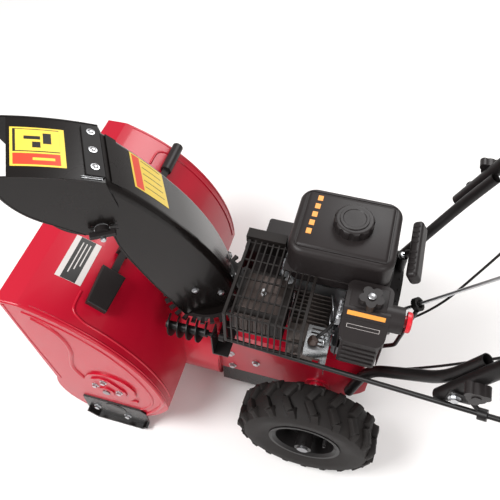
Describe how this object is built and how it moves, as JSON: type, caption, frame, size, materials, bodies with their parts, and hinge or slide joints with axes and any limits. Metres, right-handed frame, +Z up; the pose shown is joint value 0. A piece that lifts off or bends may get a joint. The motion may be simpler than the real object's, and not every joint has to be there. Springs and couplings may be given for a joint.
{
  "type": "snow blower",
  "caption": "Walk-behind petrol snow blower with ribbon augers, impeller, crank-turned chute with tilting deflector, friction drive, wheels and clutch levers on raked handles.",
  "frame": {"origin": "on the ground under the middle of the whole machine, between the wheels and the housing", "axes": "+Z up; +X is the machine's left as the operator sees it; the intake faces -Y and the handles reach towards +Y"},
  "size_m": [0.6048, 1.4013, 1.0475],
  "materials": {
    "red_paint": "gloss",
    "black_paint": "gloss",
    "handle_paint": "satin",
    "zinc": "zinc plated",
    "steel": "bright",
    "cast": "cast, painted",
    "alloy": "cast",
    "black_plastic": "textured",
    "rubber": "matt",
    "tyre": "matt",
    "red_plastic": "gloss",
    "bronze": "machined"
  },
  "bodies": {
    "chassis": {"housing_wrap": "red_paint", "housing_sides": "red_paint", "impeller_drum": "red_paint", "scraper_bar": "black_paint", "skid_shoes": "black_paint", "shaft_bearings": "red_paint", "auger_gearbox": "cast", "frame_box": "red_paint", "bottom_cover": "black_paint", "belt_cover": "black_plastic", "drive_belts": "rubber", "lower_handles": "handle_paint", "upper_handles": "handle_paint", "handle_grips": "rubber", "control_panel": "handle_paint", "rod_brackets": "handle_paint", "crankcase": "cast", "cylinder_head": "alloy", "recoil_housing": "black_paint", "fuel_tank": "black_plastic", "muffler": "steel", "muffler_guard": "black_paint", "engine_shields": "zinc", "carburettor": "alloy", "carb_cover": "black_plastic", "steel_bolts": "zinc", "clean_out_tool": "black_plastic", "control_cables": "rubber"},
    "auger": {"auger_left": "black_paint", "auger_right": "black_paint", "auger_shaft": "steel", "worm_wheel": "bronze"},
    "impeller": {"impeller_shaft": "steel", "impeller": "red_paint", "impeller_pulley": "steel"},
    "engine_shaft": {"crankshaft": "steel", "engine_pulleys": "steel"},
    "drive_disc": {"friction_disc": "alloy"},
    "hex_drive": {"friction_wheel": "rubber"},
    "wheels": {"axle": "steel", "wheel_rims": "handle_paint", "tyres": "tyre"},
    "chute": {"chute_ring": "black_plastic", "chute": "black_paint"},
    "deflector": {"deflector": "black_paint", "deflector_hinge": "rubber"},
    "deflector_knob": {"deflector_knob": "black_plastic"},
    "chute_worm": {"chute_worm": "black_paint"},
    "crank_rod": {"crank_rod": "black_paint"},
    "crank_knob": {"crank_knob": "black_plastic"},
    "clutch_left": {"clutch_lever_left": "black_paint"},
    "clutch_right": {"clutch_lever_right": "black_paint"},
    "shift_lever": {"shift_lever": "black_paint"},
    "shift_rod": {"shift_rod": "zinc"},
    "handle_knob_left": {"handle_knob_left": "black_plastic"},
    "handle_knob_right": {"handle_knob_right": "black_plastic"},
    "fuel_cap": {"fuel_cap": "black_plastic"},
    "air_box_knob": {"air_box_knob": "black_plastic"},
    "stop_button": {"stop_button": "red_plastic"},
    "starter_grip": {"starter_grip": "black_plastic"}
  },
  "joints": [
    {"name": "auger_spin", "type": "hinge", "parent": "chassis", "child": "auger", "pos_m": [0, -0.5167, 0.192], "axis": [1, 0, 0], "continuous": true},
    {"name": "impeller_spin", "type": "hinge", "parent": "chassis", "child": "impeller", "pos_m": [0, -0.2667, 0.164], "axis": [0, 1, 0], "continuous": true},
    {"name": "engine_spin", "type": "hinge", "parent": "chassis", "child": "engine_shaft", "pos_m": [0, -0.1467, 0.419], "axis": [0, 1, 0], "continuous": true},
    {"name": "drive_disc_spin", "type": "hinge", "parent": "chassis", "child": "drive_disc", "pos_m": [0, -0.1467, 0.225], "axis": [0, 1, 0], "continuous": true},
    {"name": "hex_shaft_spin", "type": "hinge", "parent": "chassis", "child": "hex_drive", "pos_m": [0, -0.0747, 0.225], "axis": [1, 0, 0], "continuous": true},
    {"name": "wheels_roll", "type": "hinge", "parent": "chassis", "child": "wheels", "pos_m": [0, -0.0277, 0.165], "axis": [1, 0, 0], "continuous": true},
    {"name": "chute_turn", "type": "hinge", "parent": "chassis", "child": "chute", "pos_m": [0.046, -0.3287, 0.376], "axis": [0, 0, 1], "range_deg": [-125, 65]},
    {"name": "worm_turn", "type": "hinge", "parent": "chassis", "child": "chute_worm", "pos_m": [0.172, -0.3347, 0.376], "axis": [0, 1, 0], "range_deg": [-3755, 3755]},
    {"name": "crank_turn", "type": "hinge", "parent": "chassis", "child": "crank_rod", "pos_m": [0.283, 0.2653, 0.55], "axis": [0.1964, 0.9309, 0.3079], "range_deg": [-3755, 3755]},
    {"name": "crank_knob_spin", "type": "hinge", "parent": "crank_rod", "child": "crank_knob", "pos_m": [0.29086, 0.28055, 0.62878], "axis": [0, 1, 0], "continuous": true},
    {"name": "deflector_tilt", "type": "hinge", "parent": "chute", "child": "deflector", "pos_m": [0.125, -0.46553, 0.836], "axis": [-0.866, -0.5, 0], "range_deg": [-8, 38]},
    {"name": "deflector_knob_turn", "type": "hinge", "parent": "deflector", "child": "deflector_knob", "pos_m": [0.20728, -0.44805, 0.732], "axis": [0.866, 0.5, 0], "range_deg": [-360, 0]},
    {"name": "clutch_lever_left_press", "type": "hinge", "parent": "chassis", "child": "clutch_left", "pos_m": [0.262, 0.4893, 1], "axis": [1, 0, 0], "range_deg": [-9.5, 0], "stiffness_Nm_per_rad": 2, "springref_deg": 20.05},
    {"name": "clutch_lever_right_press", "type": "hinge", "parent": "chassis", "child": "clutch_right", "pos_m": [-0.262, 0.4893, 1], "axis": [1, 0, 0], "range_deg": [-9.5, 0], "stiffness_Nm_per_rad": 2, "springref_deg": 20.05},
    {"name": "gear_select", "type": "hinge", "parent": "chassis", "child": "shift_lever", "pos_m": [0, 0.34487, 0.82523], "axis": [1, 0, 0], "range_deg": [-15, 15]},
    {"name": "shift_rod_pivot", "type": "hinge", "parent": "shift_lever", "child": "shift_rod", "pos_m": [0, 0.4183, 0.765], "axis": [1, 0, 0], "range_deg": [-16, 16]},
    {"name": "handle_knob_left_turn", "type": "hinge", "parent": "chassis", "child": "handle_knob_left", "pos_m": [0.249, 0.2383, 0.607], "axis": [1, 0, 0], "range_deg": [0, 360]},
    {"name": "handle_knob_right_turn", "type": "hinge", "parent": "chassis", "child": "handle_knob_right", "pos_m": [-0.249, 0.2383, 0.607], "axis": [1, 0, 0], "range_deg": [0, 360]},
    {"name": "fuel_cap_turn", "type": "hinge", "parent": "chassis", "child": "fuel_cap", "pos_m": [-0.017, -0.0227, 0.625], "axis": [0, 0, 1], "range_deg": [0, 90]},
    {"name": "air_box_knob_turn", "type": "hinge", "parent": "chassis", "child": "air_box_knob", "pos_m": [0.122, 0.0413, 0.58], "axis": [0, 0, 1], "range_deg": [0, 360]},
    {"name": "stop_button_press", "type": "slide", "parent": "chassis", "child": "stop_button", "axis": [0, -1, 0], "range_m": [0, 0.0035], "stiffness_N_per_m": 400, "springref_m": -0.004},
    {"name": "starter_pull", "type": "slide", "parent": "chassis", "child": "starter_grip", "axis": [-0.1961, 0.8434, 0.5002], "range_m": [0, 0.5], "stiffness_N_per_m": 10, "springref_m": -0.2}
  ],
  "couplings": [
    {"joint": "impeller_spin", "follows": "auger_spin", "ratio": 20},
    {"joint": "hex_shaft_spin", "follows": "wheels_roll", "ratio": -3.7448},
    {"joint": "worm_turn", "follows": "chute_turn", "ratio": -30},
    {"joint": "crank_turn", "follows": "chute_turn", "ratio": -30},
    {"joint": "shift_rod_pivot", "follows": "gear_select", "ratio": -1}
  ]
}
